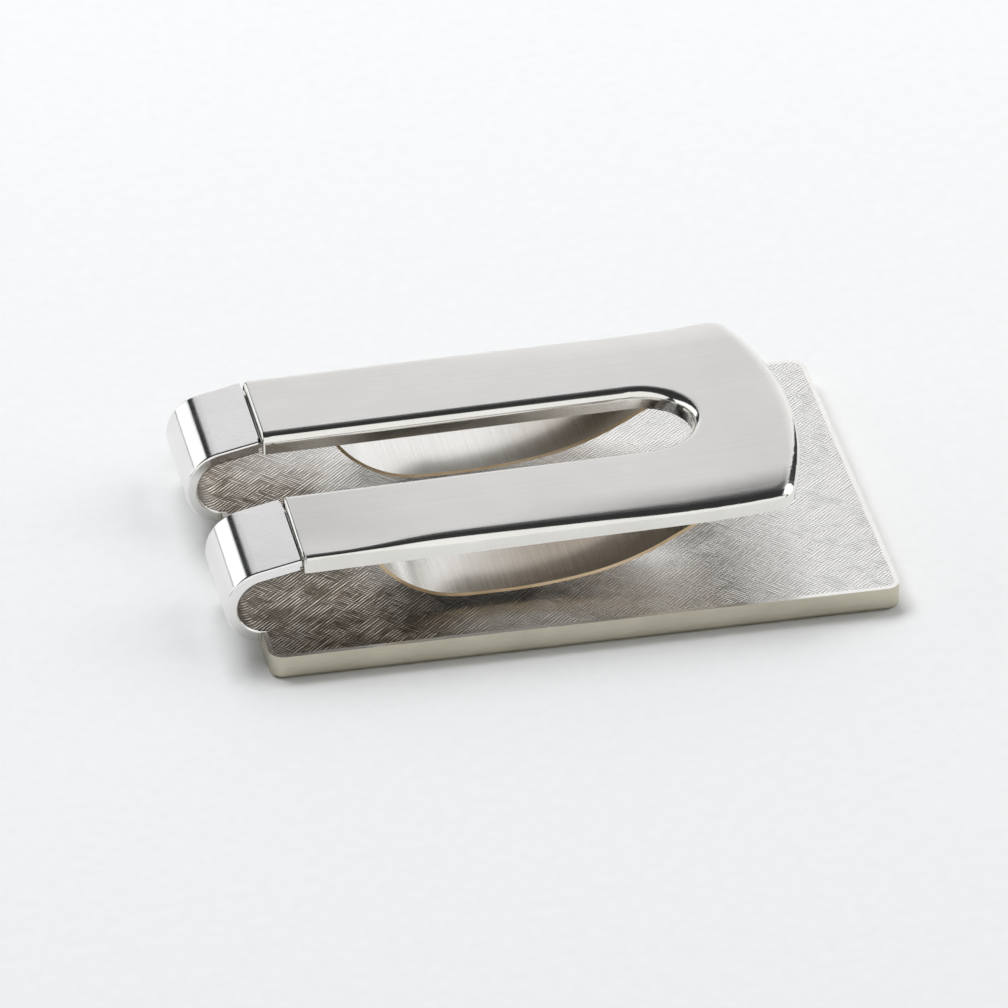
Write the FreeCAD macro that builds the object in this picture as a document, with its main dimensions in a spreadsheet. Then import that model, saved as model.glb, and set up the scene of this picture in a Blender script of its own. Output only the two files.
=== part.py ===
"""Hinged money clip: a cover and an engraved plate with two hook fingers, a U-shaped clip arm hinged to
the fingers by two short pins, and a bowed leaf spring in each leg of the arm.

Millimetres. The origin is at the middle of the cover's flat outer face. +Z points from that face to the
arm, +X from the hinge to the arm's nose, and Y across the clip. "Near" is the -Y side, "far" the +Y side.
"""
import FreeCAD
import Part
import math
import os
import Sketcher
from FreeCAD import Vector

DIMENSIONS = (
    ("plate_length", 50.0, "base, along X"),
    ("plate_width", 35.0, "base, along Y"),
    ("plate_height", 2.0, "cover and sheet together"),
    ("corner_radius", 1.2, "base corners, in plan"),
    ("sheet_thickness", 1.0, "engraved sheet and its fingers"),
    ("rim_thickness", 0.4, "cover wall round the sheet"),
    ("cover_edge_radius", 0.35, "cover's lower edge"),
    ("leg_outer", 13.5, "outer side of a leg, from the middle plane"),
    ("leg_inner", 4.25, "slot side of a leg, from the middle plane"),
    ("notch_play", 0.15, "rim notch beside a finger"),
    ("hook_low_radius", 3.1, "outer radius of a finger below its middle"),
    ("hook_high_radius", 3.35, "outer radius of a finger above its middle"),
    ("hook_edge_radius", 0.2, "rounded edges of a finger"),
    ("hook_root_x", -24.7, "where a finger starts to bend up"),
    ("hook_rise", 12.0, "degrees, slope of a finger's top"),
    ("finger_root", 0.6, "overlap of a finger with the sheet, along X"),
    ("finger_reach", 3.6, "finger's straight top before the shoulder is cut"),
    ("pin_x", -20.8, "hinge axis, along X"),
    ("pin_z", 7.6, "hinge axis, above the origin"),
    ("pin_radius", 0.25, "hinge pin"),
    ("pin_play", 0.03, "radial play of the pin in a tongue's eye"),
    ("eye_radius", 0.45, "rounded end of a tongue"),
    ("tongue_play", 0.2, "between a tongue and the flange beside it"),
    ("open_limit", 25.0, "degrees, how far the arm opens"),
    ("arm_sheet", 0.4, "thickness of the pressed arm"),
    ("arm_end_x", -21.6, "hinge end of the arm"),
    ("arm_top_z", 8.5, "top of the arm at its hinge end"),
    ("arm_slope", 1.0, "degrees, rise of the arm's top"),
    ("arm_end_radius", 0.3, "rounded end edge of the arm's top"),
    ("arm_edge_radius", 1.0, "outside of the bend between the arm's top and outer flanges"),
    ("slot_edge_radius", 0.85, "outside of the bend into the slot"),
    ("hollow_edge_radius", 0.2, "inside of both bends, where pressing thinned the sheet"),
    ("flange_height", 1.65, "arm's top to the lower edge of a flange"),
    ("nose_x", 19.85, "tip of the nose"),
    ("nose_radius", 34.0, "nose arc, in plan"),
    ("nose_corner_radius", 2.0, "nose corners, in plan"),
    ("nose_lift_x", 9.0, "where the nose begins to turn up"),
    ("nose_lift_radius", 80.0, "side view radius of the turned-up nose"),
    ("slot_end_x", 7.75, "centre of the slot's round end"),
    ("swing_gap", 0.05, "between the swinging arm end and the shoulder"),
    ("lip_depth", 5.2, "inward fold under the nose, along X"),
    ("tab_x", -18.8, "middle of the tabs that hold a leaf's tail"),
    ("tab_length", 1.2, "tab, along X"),
    ("tab_reach", 0.8, "how far a tab stands in from its flange"),
    ("tab_thickness", 0.35, "tab, along Z"),
    ("tab_lift", 0.45, "tab's underside above the flange's lower edge"),
    ("leaf_thickness", 0.28, "leaf spring strip"),
    ("leaf_width", 7.8, "leaf spring strip"),
    ("leaf_play", 0.03, "between a leaf's flat ends and the arm above"),
    ("leaf_low_z", 2.65, "underside of a leaf at its lowest"),
    ("leaf_low_x", -8.5, "where the lowest stretch of a leaf begins"),
    ("leaf_steep_angle", 58.0, "degrees, slope of a leaf near the hinge"),
    ("leaf_gentle_angle", 29.0, "degrees, slope of a leaf near the nose"),
    ("leaf_tail_gap", 0.2, "between a tongue's eye and a leaf's tail"),
    ("leaf_tail_bend", 0.7, "bend from the tail to the steep drop"),
    ("leaf_low_bend", 8.5, "bend from the steep drop to the lowest stretch"),
    ("leaf_low_length", 2.5, "lowest stretch of a leaf"),
    ("leaf_bow_radius", 40.0, "first, wide part of the bow towards the nose"),
    ("leaf_bow_angle", 10.0, "degrees, turn of that wide part"),
    ("leaf_rise_radius", 20.0, "second, tighter part of the bow"),
    ("leaf_foot_bend", 2.0, "bend from the climb to the nose foot"),
    ("leaf_foot_slope", 4.0, "degrees, slope of the nose foot"),
    ("leaf_end_x", 15.8, "nose end of a leaf"),
)

# Sizes that only have to be large or small enough, never a dimension of the clip.
CUT_PAST = 1.0
TINY = 1e-4
NEAR = 0.01
SIDE_STEP = 0.05
OUT_LEFT = -40.0
FAR_DOWN = -20.0
FAR_UP = 20.0
LEAF_TRIES = 6

doc = FreeCAD.newDocument("money_clip")
sheet = doc.addObject("Spreadsheet::Sheet", "Dimensions")


def fill_sheet():
    for row, (alias, value, note) in enumerate(DIMENSIONS, start=1):
        sheet.set("A%d" % row, alias)
        sheet.set("B%d" % row, str(value))
        sheet.setAlias("B%d" % row, alias)
        sheet.set("C%d" % row, note)
    doc.recompute()


def size(alias):
    return float(sheet.get(alias))


def cell(alias):
    return "Dimensions." + alias


# ---------------------------------------------------------------- bodies and sketches

def new_body(name):
    body = doc.addObject("PartDesign::Body", name)
    body.Label = name
    return body


def new_sketch(body, name, role):
    plane = next(f for f in body.Origin.OriginFeatures if f.Role == role)
    sketch = body.newObject("Sketcher::SketchObject", name)
    sketch.AttachmentSupport = [(plane, "")]
    sketch.MapMode = "FlatFace"
    return sketch


def pad_up(body, sketch, name, length):
    pad = body.newObject("PartDesign::Pad", name)
    pad.Profile = sketch
    pad.setExpression("Length", length)
    return pad


def pad_across(body, sketch, name, width):
    """A side-view sketch made solid on both sides of the middle plane."""
    pad = body.newObject("PartDesign::Pad", name)
    pad.Profile = sketch
    pad.Midplane = True
    pad.setExpression("Length", width)
    return pad


def pocket_across(body, sketch, name, width):
    """A side-view sketch cut on both sides of the middle plane; the cut has to take something away."""
    doc.recompute()
    before = body.Shape.Volume
    pocket = body.newObject("PartDesign::Pocket", name)
    pocket.Profile = sketch
    pocket.Midplane = True
    pocket.setExpression("Length", width)
    doc.recompute()
    if body.Shape.Volume >= before:
        raise RuntimeError(name + " cuts nothing")
    return pocket


def pocket_down(body, sketch, name, depth):
    """A plan sketch cut downwards; the cut has to take something away."""
    doc.recompute()
    before = body.Shape.Volume
    pocket = body.newObject("PartDesign::Pocket", name)
    pocket.Profile = sketch
    pocket.setExpression("Length", depth)
    doc.recompute()
    if body.Shape.Volume >= before:
        raise RuntimeError(name + " cuts nothing")


def rounded_rectangle(sketch, length, width, radius):
    """A centred rectangle with round corners; the three sizes are expressions."""
    half_x, half_y, corner = 10.0, 8.0, 1.0
    inner_x, inner_y = half_x - corner, half_y - corner
    sides = (
        (Vector(-inner_x, -half_y), Vector(inner_x, -half_y)),
        (Vector(half_x, -inner_y), Vector(half_x, inner_y)),
        (Vector(inner_x, half_y), Vector(-inner_x, half_y)),
        (Vector(-half_x, inner_y), Vector(-half_x, -inner_y)),
    )
    centres = ((inner_x, -inner_y), (inner_x, inner_y), (-inner_x, inner_y), (-inner_x, -inner_y))
    for start, end in sides:
        sketch.addGeometry(Part.LineSegment(start, end), False)
    for quarter, (x, y) in enumerate(centres):
        circle = Part.Circle(Vector(x, y), Vector(0, 0, 1), corner)
        first = (quarter - 1) * math.pi / 2
        sketch.addGeometry(Part.ArcOfCircle(circle, first, first + math.pi / 2), False)
    for i in range(4):
        arc = 4 + i
        sketch.addConstraint(Sketcher.Constraint("Tangent", i, 2, arc, 1))
        sketch.addConstraint(Sketcher.Constraint("Tangent", arc, 2, (i + 1) % 4, 1))
    for i in (0, 2):
        sketch.addConstraint(Sketcher.Constraint("Horizontal", i))
        sketch.addConstraint(Sketcher.Constraint("Vertical", i + 1))
    for arc in (5, 6, 7):
        sketch.addConstraint(Sketcher.Constraint("Equal", 4, arc))
    sketch.addConstraint(Sketcher.Constraint("Symmetric", 4, 3, 6, 3, -1, 1))
    named = (
        ("corner", Sketcher.Constraint("Radius", 4, corner), radius),
        ("across_x", Sketcher.Constraint("DistanceX", 3, 1, 1, 1, 2 * half_x), length),
        ("across_y", Sketcher.Constraint("DistanceY", 0, 1, 2, 1, 2 * half_y), width),
    )
    for name, constraint, expression in named:
        index = sketch.addConstraint(constraint)
        sketch.renameConstraint(index, name)
        sketch.setExpression("Constraints." + name, expression)


def circle(sketch, x, z, radius):
    """A full circle whose centre and radius are bound to the named cells."""
    centre = Vector(size(x), size(z), 0)
    index = sketch.addGeometry(Part.Circle(centre, Vector(0, 0, 1), 1.0), False)
    named = (("centre_x", Sketcher.Constraint("DistanceX", -1, 1, index, 3, centre.x), cell(x)),
             ("centre_z", Sketcher.Constraint("DistanceY", -1, 1, index, 3, centre.y), cell(z)),
             ("radius", Sketcher.Constraint("Radius", index, 1.0), radius))
    for name, constraint, expression in named:
        number = sketch.addConstraint(constraint)
        sketch.renameConstraint(number, name)
        sketch.setExpression("Constraints." + name, expression)


def polygon(sketch, points):
    """A closed outline of straight sides, in the sketch's own plane."""
    corners = [Vector(x, y) for x, y in points]
    for start, end in zip(corners, corners[1:] + corners[:1]):
        sketch.addGeometry(Part.LineSegment(start, end), False)


# ---------------------------------------------------------------- strips bent along a path

def line(length):
    return (length, 0.0)


def bend(radius, degrees):
    """A bend of the given middle radius, counter-clockwise where degrees is positive."""
    return (radius, degrees)


def walk(start, heading, moves):
    """The middle line of a strip as (point, heading, centre, radius, turn) for each move, and its end."""
    x, z = start
    steps = []
    for first, turn in moves:
        if turn == 0.0:
            steps.append(((x, z), heading, None, first, 0.0))
            x += first * math.cos(heading)
            z += first * math.sin(heading)
            continue
        side = math.copysign(1.0, turn)
        centre = (x - side * first * math.sin(heading), z + side * first * math.cos(heading))
        steps.append(((x, z), heading, centre, first, math.radians(turn)))
        heading += math.radians(turn)
        x = centre[0] + side * first * math.sin(heading)
        z = centre[1] - side * first * math.cos(heading)
    return steps, (x, z), heading


def beside(point, heading, offset):
    """A point at the given distance to the left of a heading."""
    return Vector(point[0] - offset * math.sin(heading), point[1] + offset * math.cos(heading))


def one_side(steps, end, end_heading, offset):
    """Lines and arcs along one side of a strip, in walking order."""
    edges = []
    stops = [(step[0], step[1]) for step in steps] + [(end, end_heading)]
    for index, (point, heading, centre, radius, turn) in enumerate(steps):
        first = beside(point, heading, offset)
        last = beside(stops[index + 1][0], stops[index + 1][1], offset)
        if centre is None:
            edges.append(Part.LineSegment(first, last))
            continue
        middle_heading = heading + turn / 2
        side = math.copysign(1.0, turn)
        middle = (centre[0] + side * radius * math.sin(middle_heading),
                  centre[1] - side * radius * math.cos(middle_heading))
        edges.append(Part.Arc(first, beside(middle, middle_heading, offset), last))
    return edges, beside(steps[0][0], steps[0][1], offset), beside(end, end_heading, offset)


def strip_outline(sketch, start, heading_degrees, moves, thickness):
    """A closed outline of even thickness about the path; returns the path's end point."""
    steps, end, end_heading = walk(start, math.radians(heading_degrees), moves)
    left, left_start, left_end = one_side(steps, end, end_heading, thickness / 2)
    right, right_start, right_end = one_side(steps, end, end_heading, -thickness / 2)
    caps = [Part.LineSegment(left_start, right_start), Part.LineSegment(left_end, right_end)]
    for edge in left + right + caps:
        sketch.addGeometry(edge, False)
    return end


# ---------------------------------------------------------------- picking edges

def pick(shape, wanted):
    """Names of the edges whose middle point satisfies the test."""
    names = []
    for number, edge in enumerate(shape.Edges, start=1):
        middle = edge.valueAt((edge.FirstParameter + edge.LastParameter) / 2)
        if wanted(edge, middle):
            names.append("Edge%d" % number)
    return names


def round_edges(body, feature, name, wanted, radius):
    doc.recompute()
    fillet = body.newObject("PartDesign::Fillet", name)
    fillet.Base = (feature, pick(feature.Shape, wanted))
    fillet.setExpression("Radius", radius)
    return fillet


# ---------------------------------------------------------------- base

def front_cover():
    """The tray: a flat outer face, a low rim, and an open stretch of rim under each finger."""
    body = new_body("front_cover")
    outline = new_sketch(body, "cover_outline", "XY_Plane")
    rounded_rectangle(outline, cell("plate_length"), cell("plate_width"), cell("corner_radius"))
    block = pad_up(body, outline, "cover_block", cell("plate_height"))
    round_edges(body, block, "cover_lower_edge",
                lambda edge, middle: edge.BoundBox.ZMax < TINY, cell("cover_edge_radius"))
    recess = new_sketch(body, "cover_recess_outline", "XY_Plane")
    recess.setExpression("AttachmentOffset.Base.z", cell("plate_height"))
    rim = " - 2 * " + cell("rim_thickness")
    rounded_rectangle(recess, cell("plate_length") + rim, cell("plate_width") + rim,
                      cell("corner_radius") + " - " + cell("rim_thickness"))
    pocket_down(body, recess, "cover_recess", cell("sheet_thickness"))
    outside = -size("plate_length") / 2 - CUT_PAST
    inside = -size("plate_length") / 2 + size("rim_thickness") + SIDE_STEP
    low = size("leg_inner") - size("notch_play")
    high = size("leg_outer") + size("notch_play")
    notches = new_sketch(body, "cover_notch_outline", "XY_Plane")
    notches.setExpression("AttachmentOffset.Base.z", cell("plate_height"))
    for side in (-1, 1):
        polygon(notches, ((outside, side * low), (inside, side * low),
                          (inside, side * high), (outside, side * high)))
    pocket_down(body, notches, "cover_notches", cell("sheet_thickness"))
    return body


def finger_moves():
    """From the sheet's left end: out, up and round, then back over towards the arm."""
    half = size("sheet_thickness") / 2
    return (line(size("finger_root")), bend(size("hook_low_radius") - half, -90),
            bend(size("hook_high_radius") - half, -90 + size("hook_rise")), line(size("finger_reach")))


def shoulder_radius():
    """The arm's rounded end edge sweeps a circle about the pin; the fingers end just outside it."""
    rounding = size("arm_end_radius")
    along = size("pin_x") - size("arm_end_x") - rounding
    above = size("arm_top_z") - size("pin_z") - rounding
    return math.hypot(along, above) + rounding + size("swing_gap")


def back_plate():
    """The engraved sheet with both fingers, their hollow shoulders, tongues and pin eyes."""
    body = new_body("back_plate")
    middle_z = size("plate_height") - size("sheet_thickness") / 2
    outline = new_sketch(body, "sheet_outline", "XY_Plane")
    outline.setExpression("AttachmentOffset.Base.z", cell("plate_height") + " - " + cell("sheet_thickness"))
    rim = " - 2 * " + cell("rim_thickness")
    rounded_rectangle(outline, cell("plate_length") + rim, cell("plate_width") + rim,
                      cell("corner_radius") + " - " + cell("rim_thickness"))
    pad_up(body, outline, "sheet_pad", cell("sheet_thickness"))
    fingers = new_sketch(body, "finger_outline", "XZ_Plane")
    root = (size("hook_root_x") + size("finger_root"), middle_z)
    strip_outline(fingers, root, 180, finger_moves(), size("sheet_thickness"))
    pad_across(body, fingers, "finger_pad", "2 * " + cell("leg_outer"))
    swing = new_sketch(body, "shoulder_circle", "XZ_Plane")
    circle(swing, "pin_x", "pin_z", "%.6f" % shoulder_radius())
    pocket_across(body, swing, "shoulder", "3 * " + cell("leg_outer"))
    tongues = new_sketch(body, "tongue_outline", "XZ_Plane")
    tongue_outline(tongues)
    flange = "(%s + %s)" % (cell("arm_sheet"), cell("tongue_play"))
    pad_across(body, tongues, "tongue_pad", "2 * (%s - %s)" % (cell("leg_outer"), flange))
    between = new_sketch(body, "tongue_gap_outline", "XZ_Plane")
    edge = size("pin_x") - shoulder_radius()
    below_tongues = size("pin_z") - shoulder_radius() - CUT_PAST
    polygon(between, ((edge, below_tongues), (0, below_tongues), (0, FAR_UP), (edge, FAR_UP)))
    pocket_across(body, between, "tongue_gap", "2 * (%s + %s)" % (cell("leg_inner"), flange))
    gap = new_sketch(body, "finger_gap_outline", "XZ_Plane")
    sheet_end = -size("plate_length") / 2 + size("rim_thickness")
    above = size("plate_height") + CUT_PAST
    polygon(gap, ((OUT_LEFT, FAR_DOWN), (sheet_end, FAR_DOWN), (sheet_end, above),
                  (0, above), (0, FAR_UP), (OUT_LEFT, FAR_UP)))
    finger_gap = pocket_across(body, gap, "finger_gap", "2 * " + cell("leg_inner"))
    round_edges(body, finger_gap, "finger_edges", is_finger_side, cell("hook_edge_radius"))
    eye = new_sketch(body, "eye_circle", "XZ_Plane")
    circle(eye, "pin_x", "pin_z", cell("pin_radius") + " + " + cell("pin_play"))
    pocket_across(body, eye, "pin_eyes", "2 * " + cell("leg_outer"))
    return body


def is_finger_side(edge, middle):
    """The long edges along both sides of each finger, clear of the sheet and of the shoulders."""
    root = -size("plate_length") / 2
    on_side = min(abs(abs(middle.y) - size("leg_inner")), abs(abs(middle.y) - size("leg_outer"))) < TINY
    clear = middle.x < root - SIDE_STEP or middle.z > size("plate_height") + CUT_PAST
    ends = edge.BoundBox
    return on_side and clear and ends.YLength < TINY and ends.XMin < root - SIDE_STEP


def tongue_outline(sketch):
    """A round eye about the pin and a neck whose top leaves room for the arm's end as it swings down."""
    lean = math.radians(size("open_limit") + 1)
    radius = size("eye_radius")
    x, z = size("pin_x"), size("pin_z")
    inside = -shoulder_radius() - size("tongue_play")
    top_tangent = Vector(x - radius * math.sin(lean), z + radius * math.cos(lean))
    top_left = Vector(x + inside, z + radius / math.cos(lean) + inside * math.tan(lean))
    low_left = Vector(x + inside, z - radius)
    low_right = Vector(x, z - radius)
    round_end = Part.Arc(low_right, Vector(x + radius, z), top_tangent)
    for edge in (round_end, Part.LineSegment(top_tangent, top_left),
                 Part.LineSegment(top_left, low_left), Part.LineSegment(low_left, low_right)):
        sketch.addGeometry(edge, False)


# ---------------------------------------------------------------- arm

def top_path():
    """The arm's top in side view: a straight ramp, then a gentle turn up to the nose."""
    slope = math.radians(size("arm_slope"))
    start = (size("arm_end_x") - 2 * CUT_PAST, size("arm_top_z") - 2 * CUT_PAST * math.tan(slope))
    ramp = (size("nose_lift_x") - start[0]) / math.cos(slope)
    beyond_nose = size("nose_x") + 5 * CUT_PAST - size("nose_lift_x")
    turn = math.degrees(beyond_nose / size("nose_lift_radius"))
    return walk(start, slope, (line(ramp), bend(size("nose_lift_radius"), turn)))


def top_z(x):
    slope = math.radians(size("arm_slope"))
    straight = size("arm_top_z") + (x - size("arm_end_x")) * math.tan(slope)
    if x <= size("nose_lift_x"):
        return straight
    radius = size("nose_lift_radius")
    corner_z = size("arm_top_z") + (size("nose_lift_x") - size("arm_end_x")) * math.tan(slope)
    centre_x = size("nose_lift_x") - radius * math.sin(slope)
    centre_z = corner_z + radius * math.cos(slope)
    return centre_z - math.sqrt(radius ** 2 - (x - centre_x) ** 2)


def beyond(sketch, depth, far_z):
    """Everything between the arm's top, lowered by depth, and a level far above or below."""
    edges, first, last = one_side(*top_path(), -depth)
    for edge in edges:
        sketch.addGeometry(edge, False)
    corners = (last, Vector(last.x, far_z), Vector(first.x, far_z), first)
    for start, end in zip(corners, corners[1:]):
        sketch.addGeometry(Part.LineSegment(start, end), False)


def arm_outline(sketch, inset, end_x):
    """The U in plan: straight legs, a shallow nose arc with round corners, and the slot's round end."""
    outer = size("leg_outer") - inset
    inner = size("leg_inner") + inset
    nose = size("nose_radius") - inset
    corner = size("nose_corner_radius") - inset
    nose_centre = size("nose_x") - size("nose_radius")
    corner_x = nose_centre + math.sqrt((nose - corner) ** 2 - (outer - corner) ** 2)
    toward = Vector(corner_x - nose_centre, outer - corner).normalize()
    touch = Vector(nose_centre, 0) + toward * nose
    halfway = (toward + Vector(0, 1)).normalize()
    bulge = Vector(corner_x, outer - corner) + halfway * corner
    slot_x = size("slot_end_x")

    def far(point):
        return Vector(point.x, -point.y)

    edges = [
        Part.LineSegment(Vector(end_x, outer), Vector(corner_x, outer)),
        Part.Arc(Vector(corner_x, outer), bulge, touch),
        Part.Arc(touch, Vector(nose_centre + nose, 0), far(touch)),
        Part.Arc(far(touch), far(bulge), Vector(corner_x, -outer)),
        Part.LineSegment(Vector(corner_x, -outer), Vector(end_x, -outer)),
        Part.LineSegment(Vector(end_x, -outer), Vector(end_x, -inner)),
        Part.LineSegment(Vector(end_x, -inner), Vector(slot_x, -inner)),
        Part.Arc(Vector(slot_x, -inner), Vector(slot_x + inner, 0), Vector(slot_x, inner)),
        Part.LineSegment(Vector(slot_x, inner), Vector(end_x, inner)),
        Part.LineSegment(Vector(end_x, inner), Vector(end_x, outer)),
    ]
    for edge in edges:
        sketch.addGeometry(edge, False)


def arm_block(name, inset, end_x, foot):
    """A solid U under the arm's top, shrunk by inset on every side and reaching foot below the top."""
    body = new_body(name)
    outline = new_sketch(body, name + "_outline", "XY_Plane")
    arm_outline(outline, inset, end_x)
    pad_up(body, outline, name + "_pad", cell("leg_outer"))
    for part, depth, level in (("top", inset, FAR_UP), ("foot", foot, FAR_DOWN)):
        side_view = new_sketch(body, "%s_%s_outline" % (name, part), "XZ_Plane")
        beyond(side_view, depth, level)
        cut = pocket_across(body, side_view, "%s_%s" % (name, part), "4 * " + cell("leg_outer"))
    return body, cut


def on_top(depth):
    """A test for the long edges round the arm's top, lowered by depth."""
    def wanted(edge, middle):
        return abs(middle.z - top_z(middle.x) + depth) < NEAR and edge.BoundBox.XLength > NEAR
    return wanted


def in_slot(point):
    slot_tip = size("slot_end_x") + size("leg_inner")
    return abs(point.y) < size("leg_inner") + NEAR and point.x < slot_tip + NEAR


def on_arm_end(edge, middle):
    return middle.x < size("arm_end_x") + TINY and middle.z > size("arm_top_z") - NEAR


def clip_arm():
    """A pressed shell: flanges all round, an inward lip under the nose, and tabs for the leaves' tails."""
    shell, cut = arm_block("arm_shell", 0.0, size("arm_end_x"), size("flange_height"))
    top_edge = on_top(0.0)
    outer_bends = round_edges(shell, cut, "outer_bends",
                              lambda edge, middle: top_edge(edge, middle) and not in_slot(middle),
                              cell("arm_edge_radius"))
    bends = round_edges(shell, outer_bends, "slot_bends",
                        lambda edge, middle: top_edge(edge, middle) and in_slot(middle),
                        cell("slot_edge_radius"))
    round_edges(shell, bends, "arm_end_edges", on_arm_end, cell("arm_end_radius"))
    sheet_t = size("arm_sheet")
    hollow, cut = arm_block("arm_hollow", sheet_t,
                            size("arm_end_x") - CUT_PAST, size("flange_height") + CUT_PAST)
    round_edges(hollow, cut, "hollow_bends", on_top(sheet_t), cell("hollow_edge_radius"))
    lip = new_sketch(hollow, "lip_outline", "XZ_Plane")
    lip_start = size("nose_x") - size("lip_depth")
    lip_end = size("nose_x") + CUT_PAST
    lip_depth = size("flange_height") - sheet_t
    polygon(lip, ((lip_start, top_z(lip_start) - lip_depth), (lip_end, top_z(lip_end) - lip_depth),
                  (lip_end, 0), (lip_start, 0)))
    pocket_across(hollow, lip, "lip", "4 * " + cell("leg_outer"))
    pins = new_sketch(shell, "pin_circle", "XZ_Plane")
    circle(pins, "pin_x", "pin_z", cell("pin_radius"))
    pocket_across(shell, pins, "pin_holes", "4 * " + cell("leg_outer"))
    pressed = doc.addObject("Part::Cut", "pressed_arm")
    pressed.Base = shell
    pressed.Tool = hollow
    arm = doc.addObject("Part::MultiFuse", "clip_arm")
    arm.Label = "clip_arm"
    arm.Shapes = [pressed] + tail_tabs()
    return arm


def tail_tabs():
    """Four short tabs pressed in from the flanges, under the tails of the two leaf springs."""
    width = "(%s + 0.5 * %s)" % (cell("tab_reach"), cell("arm_sheet"))
    starts = {"slot": "(%s + 0.5 * %s)" % (cell("leg_inner"), cell("arm_sheet")),
              "side": "(%s - %s - %s)" % (cell("leg_outer"), cell("arm_sheet"), cell("tab_reach"))}
    tabs = []
    for wall, start in starts.items():
        for side, low_y in (("near", "-%s - %s" % (start, width)), ("far", start)):
            tab = doc.addObject("Part::Box", "%s_tab_%s" % (wall, side))
            tab.setExpression("Length", cell("tab_length"))
            tab.setExpression("Width", width)
            tab.setExpression("Height", cell("tab_thickness"))
            tab.setExpression("Placement.Base.x", "%s - 0.5 * %s" % (cell("tab_x"), cell("tab_length")))
            tab.setExpression("Placement.Base.y", low_y)
            tab.setExpression("Placement.Base.z",
                              "%s - %s + %s" % (cell("arm_top_z"), cell("flange_height"), cell("tab_lift")))
            tabs.append(tab)
    return tabs


# ---------------------------------------------------------------- leaf springs and pins

def leaf_drop():
    """From the arm's top down to a leaf's middle line, where a flat end lies against the arm."""
    return size("arm_sheet") + size("leaf_play") + size("leaf_thickness") / 2


def leaf_hinge_side(tail, descent):
    """The tail, the steep drop of the given length, and the bend into the lowest stretch."""
    steep = size("leaf_steep_angle")
    return (line(tail), bend(size("leaf_tail_bend"), -steep - size("arm_slope")),
            line(descent), bend(size("leaf_low_bend"), steep))


def leaf_climb(bow_end):
    """Straight length from the bow to where the nose foot lies against the arm."""
    gentle = math.radians(size("leaf_gentle_angle"))
    rise = 0.0
    for _ in range(LEAF_TRIES):
        foot_x = bow_end[0] + rise / math.tan(gentle)
        rise = top_z(foot_x) - leaf_drop() - bow_end[1]
    return rise / math.sin(gentle)


def leaf_path():
    """Middle line of a leaf: a flat tail by the pin, a steep drop, a shallow bow, and a flat nose end."""
    slope = math.radians(size("arm_slope"))
    tail_x = size("pin_x") + size("eye_radius") + size("leaf_tail_gap")
    start = (tail_x, top_z(tail_x) - leaf_drop())

    def low_end(tail, descent):
        steps, end, heading = walk(start, slope, leaf_hinge_side(tail, descent))
        return end

    too_high = low_end(1.0, 1.0)[1] - size("leaf_low_z") - size("leaf_thickness") / 2
    descent = 1.0 + too_high / math.sin(math.radians(size("leaf_steep_angle")))
    tail = 1.0 + size("leaf_low_x") - low_end(1.0, descent)[0]
    bow = leaf_hinge_side(tail, descent) + (
        line(size("leaf_low_length")), bend(size("leaf_bow_radius"), size("leaf_bow_angle")),
        bend(size("leaf_rise_radius"), size("leaf_gentle_angle") - size("leaf_bow_angle")))
    foot_bend = bend(size("leaf_foot_bend"), size("leaf_foot_slope") - size("leaf_gentle_angle"))
    steps, with_foot, heading = walk(start, slope, bow + (foot_bend,))
    climb = leaf_climb(with_foot)
    foot_x = with_foot[0] + climb * math.cos(math.radians(size("leaf_gentle_angle")))
    return start, bow + (line(climb), foot_bend, line(size("leaf_end_x") - foot_x))


def leaf_spring(name, middle_y):
    body = new_body(name)
    side_view = new_sketch(body, name + "_outline", "XZ_Plane")
    start, moves = leaf_path()
    strip_outline(side_view, start, size("arm_slope"), moves, size("leaf_thickness"))
    pad_across(body, side_view, name + "_pad", cell("leaf_width"))
    body.setExpression("Placement.Base.y", middle_y)
    return body


def hinge_pin(name, middle_y):
    """A plain pin, as long as the leg is wide, flush with both flanges."""
    half_length = "0.5 * (%s - %s)" % (cell("leg_outer"), cell("leg_inner"))
    pin = doc.addObject("Part::Cylinder", name)
    pin.Label = name
    pin.setExpression("Radius", cell("pin_radius"))
    pin.setExpression("Height", "2 * " + half_length)
    pin.Placement.Rotation = FreeCAD.Rotation(Vector(1, 0, 0), 90)
    pin.setExpression("Placement.Base.x", cell("pin_x"))
    pin.setExpression("Placement.Base.y", middle_y + " + " + half_length)
    pin.setExpression("Placement.Base.z", cell("pin_z"))
    return pin


# ---------------------------------------------------------------- the whole clip

def build():
    fill_sheet()
    leg_middle = "0.5 * (%s + %s)" % (cell("leg_outer"), cell("leg_inner"))
    pieces = [front_cover(), back_plate(), clip_arm()]
    for side, middle in (("near", "-1 * (%s)" % leg_middle), ("far", leg_middle)):
        pieces.append(leaf_spring(side + "_leaf_spring", middle))
        pieces.append(hinge_pin(side + "_hinge_pin", middle))
    doc.recompute()
    return pieces


def check_document():
    for item in doc.Objects:
        if "Invalid" in item.State or "Error" in item.State:
            raise RuntimeError("%s is not built: %s" % (item.Name, item.State))


def write_steps(pieces):
    os.makedirs("parts", exist_ok=True)
    for piece in pieces:
        shape = piece.Shape
        if shape.isNull() or not shape.isValid() or shape.Volume <= 0:
            raise RuntimeError(piece.Label + " has no valid solid")
        print("%-18s %d solid(s) %9.2f mm3" % (piece.Label, len(shape.Solids), shape.Volume))
        shape.exportStep("parts/%s.step" % piece.Label)


parts = build()
check_document()
write_steps(parts)
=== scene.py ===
"""Looks of the hinged money clip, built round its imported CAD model. Metres, +Z up, same frame as the CAD."""

import math

import bmesh
import bpy
from mathutils import Matrix, Vector


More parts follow.
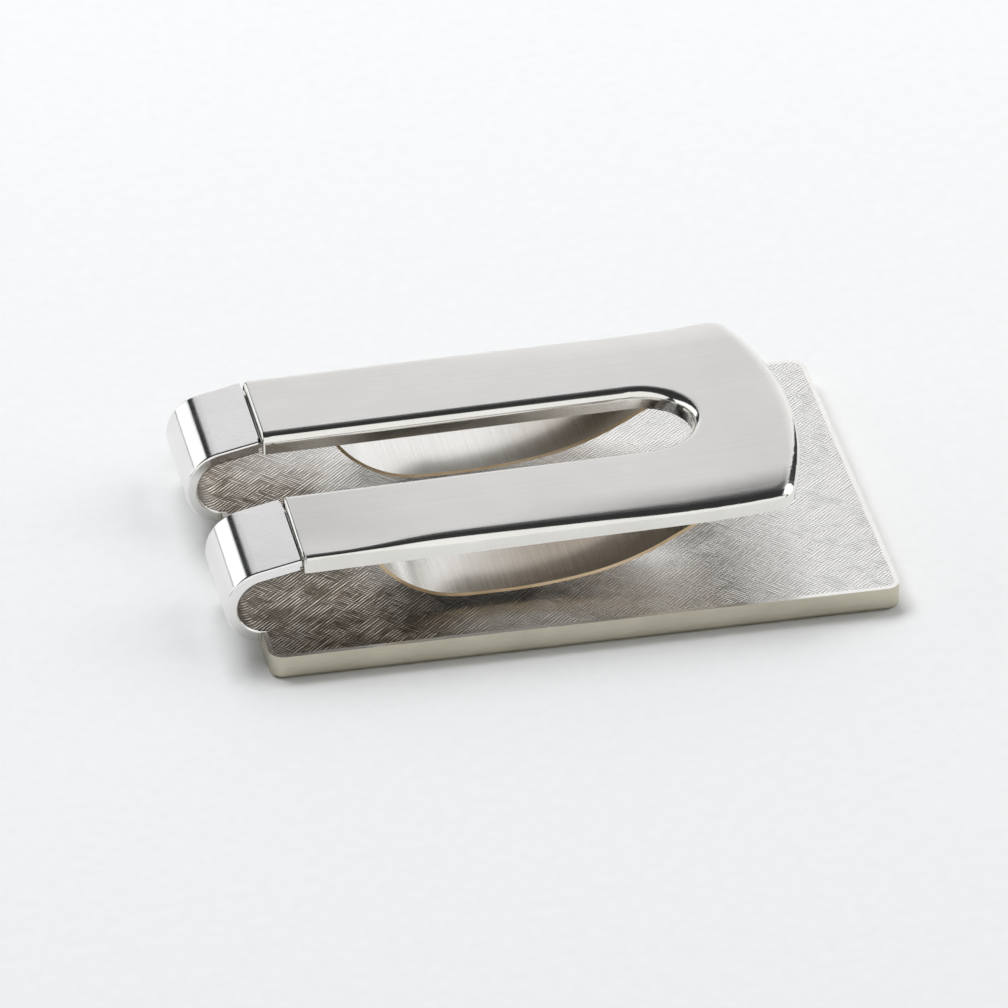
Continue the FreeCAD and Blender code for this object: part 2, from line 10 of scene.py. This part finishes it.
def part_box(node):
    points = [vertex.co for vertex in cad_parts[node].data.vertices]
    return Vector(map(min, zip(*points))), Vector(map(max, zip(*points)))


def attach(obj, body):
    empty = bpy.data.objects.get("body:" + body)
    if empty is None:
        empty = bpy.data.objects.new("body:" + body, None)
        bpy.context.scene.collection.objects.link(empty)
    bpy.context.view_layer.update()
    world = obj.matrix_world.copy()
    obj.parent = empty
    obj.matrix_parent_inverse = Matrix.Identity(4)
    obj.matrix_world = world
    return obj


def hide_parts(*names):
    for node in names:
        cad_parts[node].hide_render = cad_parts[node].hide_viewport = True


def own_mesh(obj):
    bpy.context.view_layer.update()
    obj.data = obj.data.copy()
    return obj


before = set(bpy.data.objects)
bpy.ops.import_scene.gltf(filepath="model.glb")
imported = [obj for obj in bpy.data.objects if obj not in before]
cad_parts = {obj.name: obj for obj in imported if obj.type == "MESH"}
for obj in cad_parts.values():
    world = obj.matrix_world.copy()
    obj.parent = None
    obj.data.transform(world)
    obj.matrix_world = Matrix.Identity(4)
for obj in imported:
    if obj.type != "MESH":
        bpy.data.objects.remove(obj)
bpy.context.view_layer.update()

MM = 0.001

# The plate: its engraved face is level with the cover's rim, and its fingers bend round the hook's centre.
PLATE_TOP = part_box("front_cover")[1][2]
HOOK_X = -24.6 * MM
HOOK_Z = 4.1 * MM
HOOK_INSIDE = 2.75 * MM
HOOK_UNROLLED = 2.4 * MM
FINGER_UNDERSIDE = 6.0 * MM
LEFT_LINES_TURN, LEFT_LINES_PITCH = math.radians(-43), 0.27 * MM
RIGHT_LINES_TURN, RIGHT_LINES_PITCH = math.radians(46), 0.24 * MM
# Where the plate's engraved lines go from painted shade by the hinge to painted light towards the nose.
PAINTED_LIGHT_X = (-15 * MM, 2 * MM)
STAINED_Y = (-2 * MM, -9 * MM)

# The arm, in millimetres, as its sag and its bends are worked out in them. Its measured end and side are
# rounded to a micrometre, so that a vertex right at the start of a bend counts as part of the bend. The skin
# is a little thinner than the sheet, so that the inner faces stay where they are.
ARM_END = round(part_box("clip_arm")[0][0] / MM, 3)
ARM_SIDE = round(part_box("clip_arm")[1][1] / MM, 3)
SLOT_SIDE = 4.25
ARM_TOP = 8.5
ARM_SLOPE = math.tan(math.radians(1.0))
ARM_BEND = 1.0
ARM_SHEET = 0.4
ARM_SKIN = 0.38
NOSE_TIP = 19.85
NOSE_RADIUS = 34.0
NOSE_CORNER = 2.0
NOSE_CORNER_X = 15.71
NOSE_LIFT_X, NOSE_LIFT_RADIUS = 9.0, 80.0
PIN_RIM = 0.3
SHARP_BEND, SHARP_X = 0.45, (-18.5, -9.5)

# How the pressing lowered the arm's outside, in millimetres: by the hinge, along both sides and at the nose.
SAG_HEIGHT = 0.65
HINGE_SAG, HINGE_SAG_X, HINGE_SAG_Y = 0.22, (-19.5, -10.0), 12.6
SIDE_SAG, SIDE_SAG_X, SIDE_SAG_Y, SIDE_SAG_WIDTH, SIDE_SAG_LIMIT = 0.16, (-12.0, 14.0), 9.8, 2.7, 1.37
NOSE_SAG, NOSE_SAG_X, NOSE_SAG_LENGTH, NOSE_SAG_LIMIT = 0.10, 15.6, 3.0, 1.4

# The leaves: where painted shade turns them darker and browner towards the nose.
PAINTED_SHADE_X = (-8 * MM, 5 * MM)


# ------------------------------------------------------------------ node trees

class Shader:
    """A material's node tree, with short calls for the nodes that the surfaces here share."""

    def __init__(self, name):
        self.material = bpy.data.materials.new(name)
        self.material.use_nodes = True
        self.tree = self.material.node_tree
        self.tree.nodes.clear()
        self.output = self.node("ShaderNodeOutputMaterial")
        self.surface = self.node("ShaderNodeBsdfPrincipled")
        self.link(self.surface.outputs[0], self.output.inputs["Surface"])
        self.place = self.node("ShaderNodeTexCoord").outputs["Object"]
        self.normal = self.node("ShaderNodeTexCoord").outputs["Normal"]

    def node(self, kind, **settings):
        made = self.tree.nodes.new(kind)
        for key, value in settings.items():
            setattr(made, key, value)
        return made

    def link(self, source, target):
        self.tree.links.new(source, target)

    def feed(self, socket, value):
        if isinstance(value, (int, float, tuple)):
            socket.default_value = value
        else:
            self.link(value, socket)

    def set(self, **values):
        """Feeds the surface's inputs. An underscore stands for the space in an input's name."""
        for name, value in values.items():
            self.feed(self.surface.inputs[name.replace("_", " ")], value)

    def math(self, operation, first, second=0.0, third=0.0):
        made = self.node("ShaderNodeMath", operation=operation)
        for socket, value in zip(made.inputs, (first, second, third)):
            self.feed(socket, value)
        return made.outputs[0]

    def weigh(self, first, first_share, second, second_share):
        """The sum of two values, each times its share."""
        return self.math("ADD", self.math("MULTIPLY", first, first_share),
                         self.math("MULTIPLY", second, second_share))

    def axes(self, vector):
        made = self.node("ShaderNodeSeparateXYZ")
        self.link(vector, made.inputs[0])
        return made.outputs[0], made.outputs[1], made.outputs[2]

    def step(self, value, low, high, to_low=0.0, to_high=1.0):
        """A smooth step of value from low to high."""
        made = self.node("ShaderNodeMapRange", interpolation_type="SMOOTHSTEP")
        for socket, given in zip(made.inputs, (value, low, high, to_low, to_high)):
            self.feed(socket, given)
        return made.outputs[0]

    def scaled(self, scale, turn=(0.0, 0.0, 0.0), of=None):
        made = self.node("ShaderNodeMapping")
        self.link(of or self.place, made.inputs["Vector"])
        made.inputs["Rotation"].default_value = turn
        made.inputs["Scale"].default_value = scale
        return made.outputs[0]

    def noise(self, vector, scale=1.0, detail=2.0, roughness=0.5):
        made = self.node("ShaderNodeTexNoise")
        self.link(vector, made.inputs["Vector"])
        made.inputs["Scale"].default_value = scale
        made.inputs["Detail"].default_value = detail
        made.inputs["Roughness"].default_value = roughness
        return made.outputs[0]

    def ramp(self, value, *stops):
        """A colour ramp. Each stop is a position and its colour."""
        made = self.node("ShaderNodeValToRGB")
        elements = made.color_ramp.elements
        while len(elements) < len(stops):
            elements.new(0.5)
        for element, (position, colour) in zip(elements, stops):
            element.position = position
            element.color = (*colour, 1.0)
        self.link(value, made.inputs[0])
        return made.outputs[0]

    def mix(self, factor, first, second):
        """A number that goes from first to second as factor goes from 0 to 1."""
        made = self.node("ShaderNodeMix")
        for socket, value in zip((made.inputs[0], made.inputs[2], made.inputs[3]), (factor, first, second)):
            self.feed(socket, value)
        return made.outputs[0]

    def blend(self, factor, first, second):
        """A colour that goes from first to second as factor goes from 0 to 1."""
        made = self.node("ShaderNodeMix", data_type="RGBA")
        for socket, value in zip((made.inputs[0], made.inputs[6], made.inputs[7]), (factor, first, second)):
            self.feed(socket, value)
        return made.outputs[2]

    def bump(self, height, distance):
        made = self.node("ShaderNodeBump")
        made.inputs["Strength"].default_value = 1.0
        made.inputs["Distance"].default_value = distance
        self.link(height, made.inputs["Height"])
        return made.outputs[0]


# ------------------------------------------------------------------ metals

def brushed_nickel():
    """Nickel plate, brushed along X where the sheet lies flat and polished smooth over its bends."""
    s = Shader("arm_nickel")
    flat = s.step(s.math("ABSOLUTE", s.axes(s.normal)[2]), 0.88, 0.97)
    fine = s.noise(s.scaled((500, 22000, 6000)), detail=3.0)
    broad = s.noise(s.scaled((60, 2600, 900)), detail=2.0)
    cloud = s.noise(s.place, scale=260, detail=3.0)
    brushing = s.weigh(fine, 0.6, broad, 0.4)
    tone = s.ramp(s.weigh(brushing, 0.7, cloud, 0.3), (0.30, (0.70, 0.69, 0.67)), (0.72, (0.80, 0.79, 0.775)))
    clean = s.ramp(cloud, (0.25, (0.76, 0.745, 0.70)), (0.75, (0.82, 0.81, 0.775)))
    satin = s.math("MULTIPLY_ADD", brushing, 0.10, 0.25)
    polished = s.math("MULTIPLY_ADD", cloud, 0.06, 0.09)
    grain = s.math("MULTIPLY", brushing, s.math("MULTIPLY_ADD", flat, 0.9, 0.1))
    s.set(Base_Color=s.blend(flat, clean, tone), Metallic=1.0, Roughness=s.mix(flat, polished, satin),
          Normal=s.bump(grain, 0.004 * MM))
    return s.material


def unrolled(s, x, y, z):
    """Whether a place is inside a hook, and the plate's face laid flat there, so that its lines run on."""
    out = s.math("SUBTRACT", HOOK_X, x)
    down = s.math("SUBTRACT", HOOK_Z, z)
    reach = s.math("SQRT", s.math("ADD", s.math("MULTIPLY", out, out), s.math("MULTIPLY", down, down)))
    in_hook = s.math("LESS_THAN", reach, HOOK_INSIDE)
    round_hook = s.math("MULTIPLY_ADD", s.math("ARCTAN2", out, down), -HOOK_UNROLLED, HOOK_X)
    bent = s.math("MULTIPLY", in_hook, s.math("GREATER_THAN", out, 0.0))
    flat = s.node("ShaderNodeCombineXYZ")
    s.link(s.weigh(bent, round_hook, s.math("SUBTRACT", 1.0, bent), x), flat.inputs[0])
    s.link(y, flat.inputs[1])
    return in_hook, flat.outputs[0]


def hatch(s, flat, turn, pitch, wander_scale):
    """One set of engraved lines along the direction turned from X, 0 in a groove and 1 on a ridge."""
    across = s.scaled((1.0, 1.0, 1.0), (0.0, 0.0, turn), flat)
    wander = s.noise(across, scale=wander_scale, detail=2.0)
    phase = s.math("MULTIPLY_ADD", wander, 1.7, s.math("MULTIPLY", s.axes(across)[1], 2 * math.pi / pitch))
    wave = s.math("MULTIPLY_ADD", s.math("SINE", phase), 0.5, 0.5)
    streak = s.noise(s.scaled((480, 1.1 / pitch, 480), of=across), detail=3.0)
    return s.math("MULTIPLY", wave, s.step(streak, 0.32, 0.60, 0.25, 1.0))


def engraving(s, flat):
    """Two crossing sets of lines. In some patches one set is the deeper, in others the other."""
    left = hatch(s, flat, LEFT_LINES_TURN, LEFT_LINES_PITCH, 300)
    right = hatch(s, flat, RIGHT_LINES_TURN, RIGHT_LINES_PITCH, 330)
    patch = s.step(s.noise(s.place, scale=620, detail=4.0, roughness=0.7), 0.42, 0.62)
    return s.weigh(s.math("MINIMUM", left, right), 0.35, s.mix(patch, left, right), 0.65)


def engraved_faces(s, in_hook, z):
    """1 on the plate's top, inside the hooks and under the fingers, and 0 on the satin backs and edges."""
    ny, nz = s.axes(s.normal)[1:]
    on_top = s.math("MULTIPLY", s.math("GREATER_THAN", nz, 0.5), s.math("LESS_THAN", z, PLATE_TOP + 0.3 * MM))
    under = s.math("MULTIPLY", s.math("LESS_THAN", nz, -0.5), s.math("GREATER_THAN", z, FINGER_UNDERSIDE))
    faces = s.math("MINIMUM", s.math("ADD", s.math("ADD", in_hook, on_top), under), 1.0)
    return s.math("MULTIPLY", faces, s.math("LESS_THAN", s.math("ABSOLUTE", ny), 0.5))


def engraved_colour(s, lines, painted_light, y):
    """Lines with painted light towards the nose and painted shade towards the hinge, and blotched on the near
    side.
    """
    blotch = s.step(s.noise(s.place, scale=310, detail=5.0, roughness=0.65), 0.44, 0.62, 0.0, 0.45)
    near_side = s.step(y, *STAINED_Y)
    stain = s.math("SUBTRACT", 1.0, s.math("MULTIPLY", blotch, near_side))
    dark = s.ramp(s.math("MULTIPLY", lines, stain), (0.12, (0.10, 0.078, 0.055)),
                  (0.38, (0.34, 0.295, 0.24)), (0.74, (0.97, 0.93, 0.86)))
    bright = s.ramp(lines, (0.03, (0.52, 0.50, 0.475)), (0.20, (0.88, 0.87, 0.855)),
                    (0.50, (1.0, 0.995, 0.985)))
    return s.blend(painted_light, dark, bright)


def engraved_nickel():
    """The plate: fine engraved lines on its inner faces, and satin on the fingers' backs."""
    s = Shader("engraved_nickel")
    x, y, z = s.axes(s.place)
    in_hook, flat = unrolled(s, x, y, z)
    lines = engraving(s, flat)
    inner = engraved_faces(s, in_hook, z)
    ragged = s.math("MULTIPLY_ADD", s.noise(s.place, scale=140, detail=4.0), 14 * MM, x)
    # Painted light and shade: the lines are painted bright towards the nose and dark towards the hinge.
    painted_light = s.step(s.math("MULTIPLY_ADD", y, 0.35, ragged), *PAINTED_LIGHT_X)
    cloud = s.noise(s.place, scale=170, detail=3.0)
    grain = s.noise(s.scaled((420, 9000, 5000)), detail=3.0)
    top = s.step(s.axes(s.normal)[2], 0.90, 0.97)
    polished = s.ramp(cloud, (0.3, (0.80, 0.795, 0.78)), (0.7, (0.86, 0.855, 0.84)))
    brushed = s.ramp(grain, (0.3, (0.80, 0.785, 0.79)), (0.7, (0.87, 0.855, 0.86)))
    satin_rough = s.math("MULTIPLY_ADD", top, 0.17, s.math("MULTIPLY_ADD", cloud, 0.10, 0.07))
    lines_rough = s.math("MULTIPLY_ADD", lines, -0.10, s.math("MULTIPLY_ADD", painted_light, -0.02, 0.32))
    colour = s.blend(inner, s.blend(top, polished, brushed), engraved_colour(s, lines, painted_light, y))
    s.set(Base_Color=colour, Metallic=1.0, Roughness=s.mix(inner, satin_rough, lines_rough),
          Normal=s.bump(s.math("MULTIPLY", lines, inner), 0.022 * MM))
    return s.material


def satin_side():
    """The cover: olive-tinted satin nickel with fine streaks, with painted shade darkening its sides and painted
    light brightening its rim on top.
    """
    s = Shader("cover_nickel")
    # Painted light and shade: faces turned up get the bright colour, and the sides get the darker olive.
    rim = s.step(s.axes(s.normal)[2], 0.80, 0.97)
    cloud = s.noise(s.place, scale=240, detail=4.0)
    streak = s.noise(s.scaled((700, 700, 15000)), detail=2.0)
    tone = s.weigh(cloud, 0.5, streak, 0.5)
    olive = s.ramp(tone, (0.3, (0.50, 0.475, 0.38)), (0.7, (0.62, 0.592, 0.485)))
    bright = s.ramp(cloud, (0.3, (0.88, 0.87, 0.84)), (0.7, (0.95, 0.94, 0.92)))
    rough = s.math("MULTIPLY_ADD", rim, -0.12, s.math("MULTIPLY_ADD", tone, 0.16, 0.30))
    s.set(Base_Color=s.blend(rim, olive, bright), Metallic=1.0, Roughness=rough,
          Normal=s.bump(tone, 0.006 * MM))
    return s.material


def spring_strip():
    """Polished strip with faint streaks across it, painted darker and browner towards the nose as painted shade,
    and bronze sheared edges.
    """
    s = Shader("spring_steel")
    x, y = s.axes(s.place)[:2]
    edge = s.step(s.math("ABSOLUTE", s.axes(s.normal)[1]), 0.5, 0.8)
    streak = s.noise(s.scaled((5200, 160, 5200)), detail=3.0)
    cloud = s.noise(s.place, scale=200, detail=2.0)
    tone = s.weigh(streak, 0.7, cloud, 0.3)
    clean = s.ramp(tone, (0.3, (0.74, 0.725, 0.70)), (0.7, (0.84, 0.83, 0.81)))
    # Painted shade: a darker, browner copy of the strip's colour for its nose end.
    painted_shade = s.ramp(tone, (0.3, (0.31, 0.265, 0.215)), (0.7, (0.41, 0.36, 0.30)))
    along = s.math("MULTIPLY_ADD", y, -0.5, s.math("MULTIPLY_ADD", cloud, 3 * MM, x))
    face = s.blend(s.step(along, *PAINTED_SHADE_X), clean, painted_shade)
    bronze = s.ramp(cloud, (0.3, (0.50, 0.37, 0.22)), (0.7, (0.62, 0.49, 0.33)))
    s.set(Base_Color=s.blend(edge, face, bronze), Metallic=1.0,
          Roughness=s.math("MULTIPLY_ADD", tone, 0.12, 0.13), Normal=s.bump(streak, 0.003 * MM))
    return s.material


def paint(node, material):
    """A CAD node keeps its mesh and gets the material in every slot."""
    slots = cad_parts[node].material_slots
    for slot in slots:
        slot.material = material
    if not slots:
        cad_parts[node].data.materials.append(material)


def copied_piece(node, name, material):
    """A piece made from a copy of a CAD node's mesh."""
    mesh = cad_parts[node].data.copy()
    mesh.materials.clear()
    mesh.materials.append(material)
    piece = bpy.data.objects.new(name, mesh)
    bpy.context.scene.collection.objects.link(piece)
    return piece


# ------------------------------------------------------------------ arm

def smoothstep(value, low, high):
    share = min(max((value - low) / (high - low), 0.0), 1.0)
    return share * share * (3 - 2 * share)


def arm_top(x):
    """The level of the ideal arm's top at x."""
    return ARM_TOP + (x - ARM_END) * ARM_SLOPE + max(x - NOSE_LIFT_X, 0.0) ** 2 / (2 * NOSE_LIFT_RADIUS)


def arm_sag(x, y):
    """How far the outside of the pressed arm lies under its ideal shape, at a place in plan."""
    near_hinge = (1 - smoothstep(x, *HINGE_SAG_X)) * smoothstep(-y, SLOT_SIDE, HINGE_SAG_Y)
    side_edge = min(max(abs(y) - SIDE_SAG_Y, 0.0) / SIDE_SAG_WIDTH, SIDE_SAG_LIMIT)
    rolled_side = smoothstep(x, *SIDE_SAG_X) * side_edge ** 2
    nose_edge = min(max(x - NOSE_SAG_X, 0.0) / NOSE_SAG_LENGTH, NOSE_SAG_LIMIT)
    return HINGE_SAG * near_hinge + SIDE_SAG * rolled_side + NOSE_SAG * nose_edge ** 2


def sharper(across, below, radius):
    """A place on the bend, from the flange's face and from the top, moved to a bend of another radius."""
    off_bend = abs(math.hypot(ARM_BEND - across, ARM_BEND - below) - ARM_BEND)
    if across > ARM_BEND or below > ARM_BEND or off_bend > 0.02:
        return across, below
    return across * radius / ARM_BEND, below * radius / ARM_BEND


def on_outside(x, y):
    """Whether a place in plan lies in the outer skin of the arm's flanges rather than on their inside."""
    y = abs(y)
    if y > ARM_SIDE - ARM_SKIN:
        return True
    corner_y = ARM_SIDE - NOSE_CORNER
    if x > NOSE_CORNER_X and y > corner_y:
        return math.hypot(x - NOSE_CORNER_X, y - corner_y) > NOSE_CORNER - ARM_SKIN
    return math.hypot(x - NOSE_TIP + NOSE_RADIUS, y) > NOSE_RADIUS - ARM_SKIN


def divide(work):
    """Cuts across the arm along its whole length, and along its outer edges, for the sag to follow."""
    across_step, first_edge, edge_step = 0.8, 9.4, 0.4
    bmesh.ops.remove_doubles(work, verts=work.verts, dist=0.0005 * MM)
    cuts = [((count * across_step * MM, 0, 0), (1, 0, 0)) for count in range(-26, 24)]
    edges = [side * (first_edge + edge_step * count) for count in range(9) for side in (-1, 1)]
    cuts += [((0, edge * MM, 0), (0, 1, 0)) for edge in edges]
    for place, normal in cuts:
        everything = work.verts[:] + work.edges[:] + work.faces[:]
        bmesh.ops.bisect_plane(work, geom=everything, plane_co=place, plane_no=normal, dist=0.001 * MM)


def press(work):
    """Lowers the arm's outside by its sag and sharpens the near bend by the hinge. The pin's rim stays flush."""
    pin_low, pin_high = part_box("near_hinge_pin")
    pin_x, pin_z = (pin_low[0] + pin_high[0]) / 2 / MM, (pin_low[2] + pin_high[2]) / 2 / MM
    for vertex in work.verts:
        x, y, z = (value / MM for value in vertex.co)
        top = arm_top(x)
        if z < top - ARM_SKIN and not on_outside(x, y):
            continue
        if y < 0 and x < SHARP_X[1]:
            radius = SHARP_BEND + (ARM_BEND - SHARP_BEND) * smoothstep(x, *SHARP_X)
            across, below = sharper(ARM_SIDE + y, top - z, radius)
            if math.hypot(x - pin_x, z - pin_z) < PIN_RIM and y < ARM_SHEET - ARM_SIDE:
                across, below = 0.0, top - z
            y, z = across - ARM_SIDE, top - below
            vertex.co.y, vertex.co.z = y * MM, z * MM
        height = min(max((z - top + SAG_HEIGHT) / SAG_HEIGHT, 0.0), 1.0)
        vertex.co.z -= arm_sag(x, y) * height * MM


def pressed_arm(material):
    """The arm with the small unevenness of its pressing: a lowered near corner and softly rolled edges."""
    arm = copied_piece("clip_arm", "pressed_arm", material)
    work = bmesh.new()
    work.from_mesh(arm.data)
    divide(work)
    press(work)
    work.to_mesh(arm.data)
    work.free()
    if arm.data.has_custom_normals:
        arm.data.attributes.remove(arm.data.attributes["custom_normal"])
    arm.data.shade_smooth()
    arm.data.set_sharp_from_angle(angle=math.radians(32))
    smoothed = arm.modifiers.new("normals", "WEIGHTED_NORMAL")
    smoothed.keep_sharp = True
    smoothed.weight = 60
    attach(arm, "arm")
    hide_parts("clip_arm")


# ------------------------------------------------------------------ leaf springs

def leaf_piece(side, material):
    """A leaf spring, a copy of its CAD node's mesh on a body of its own, with the CAD node hidden."""
    node = side + "_leaf_spring"
    leaf = copied_piece(node, side + "_bowed_leaf", material)
    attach(leaf, side + "_leaf")
    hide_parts(node)
    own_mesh(leaf)


# ------------------------------------------------------------------ studio

def camera():
    """A long lens from the near side, a little to the left, 32 degrees above the table."""
    azimuth, elevation, roll = math.radians(-11.23), math.radians(32.14), math.radians(-0.35)
    sensor, focal_frames, distance = 36.0, 10.317, 0.8216
    aim_right, aim_up = -3.089 * MM, 1.797 * MM
    right = Vector((math.cos(azimuth), math.sin(azimuth), 0.0))
    back = Vector((math.sin(azimuth) * math.cos(elevation), -math.cos(azimuth) * math.cos(elevation),
                   math.sin(elevation)))
    up = back.cross(right)
    turned_right = right * math.cos(roll) + up * math.sin(roll)
    turned_up = up * math.cos(roll) - right * math.sin(roll)
    data = bpy.data.cameras.new("camera")
    data.sensor_width = sensor
    data.lens = sensor * focal_frames
    data.clip_start = 0.05
    data.clip_end = 20.0
    lens = bpy.data.objects.new("camera", data)
    place = aim_right * turned_right + aim_up * turned_up + back * distance
    turn = Matrix((turned_right, turned_up, back)).transposed()
    lens.matrix_world = Matrix.Translation(place) @ turn.to_4x4()
    bpy.context.scene.collection.objects.link(lens)
    bpy.context.scene.camera = lens


def panel(name, azimuth, elevation, distance, spread, rise, radiance, colour=(1.0, 1.0, 1.0)):
    """A soft light panel facing the clip. Azimuth 0 stands behind it, on +Y, and 90 on its right, +X."""
    a, e = math.radians(azimuth), math.radians(elevation)
    toward = Vector((math.sin(a) * math.cos(e), math.cos(a) * math.cos(e), math.sin(e)))
    data = bpy.data.lights.new(name, "AREA")
    data.shape = "RECTANGLE"
    data.size = 2 * distance * math.tan(math.radians(spread))
    data.size_y = 2 * distance * math.tan(math.radians(rise))
    data.energy = radiance * math.pi * data.size * data.size_y
    data.color = colour
    light = bpy.data.objects.new(name, data)
    light.location = toward * distance
    light.rotation_mode = "QUATERNION"
    light.rotation_quaternion = toward.to_track_quat("Z", "Y")
    bpy.context.scene.collection.objects.link(light)
    return light


def floor():
    """A plain pale table top."""
    s = Shader("pale_floor")
    grain = s.noise(s.place, scale=900, detail=2.0)
    s.set(Base_Color=s.ramp(grain, (0.3, (0.86, 0.865, 0.87)), (0.7, (0.88, 0.885, 0.89))), Roughness=0.75)
    side = 3.0
    corners = [(-side, -side, 0.0), (side, -side, 0.0), (side, side, 0.0), (-side, side, 0.0)]
    mesh = bpy.data.meshes.new("floor")
    mesh.from_pydata(corners, [], [(0, 1, 2, 3)])
    mesh.materials.append(s.material)
    plane = bpy.data.objects.new("floor", mesh)
    bpy.context.scene.collection.objects.link(plane)


def studio():
    """Soft panels all round. The front one shows in the metal only, and the fill lights the floor only."""
    world = bpy.data.worlds.new("studio")
    bpy.context.scene.world = world
    world.use_nodes = True
    sky = world.node_tree.nodes["Background"]
    sky.inputs["Color"].default_value = (0.93, 0.96, 1.0, 1.0)
    sky.inputs["Strength"].default_value = 0.04
    panel("back_panel", 14, 20.5, 1.2, 27, 22, 1.03)
    panel("left_panel", -59, 15, 1.2, 32, 13, 1.3, (0.97, 0.985, 1.0))
    front = panel("front_panel", 185, 29, 1.2, 62, 31, 1.0)
    front.visible_diffuse = False
    panel("right_panel", 85, 30, 1.2, 24, 30, 1.8)
    fill = panel("floor_fill", -24, 54, 1.6, 24, 14, 6.9, (0.98, 0.985, 0.99))
    fill.visible_glossy = False
    view = bpy.context.scene.view_settings
    view.view_transform = "Standard"
    view.look = "None"
    view.exposure = 0.0


camera()
floor()
studio()

arm_nickel = brushed_nickel()
pressed_arm(arm_nickel)
paint("near_hinge_pin", arm_nickel)
paint("far_hinge_pin", arm_nickel)
paint("back_plate", engraved_nickel())
paint("front_cover", satin_side())
strip = spring_strip()
leaf_piece("near", strip)
leaf_piece("far", strip)
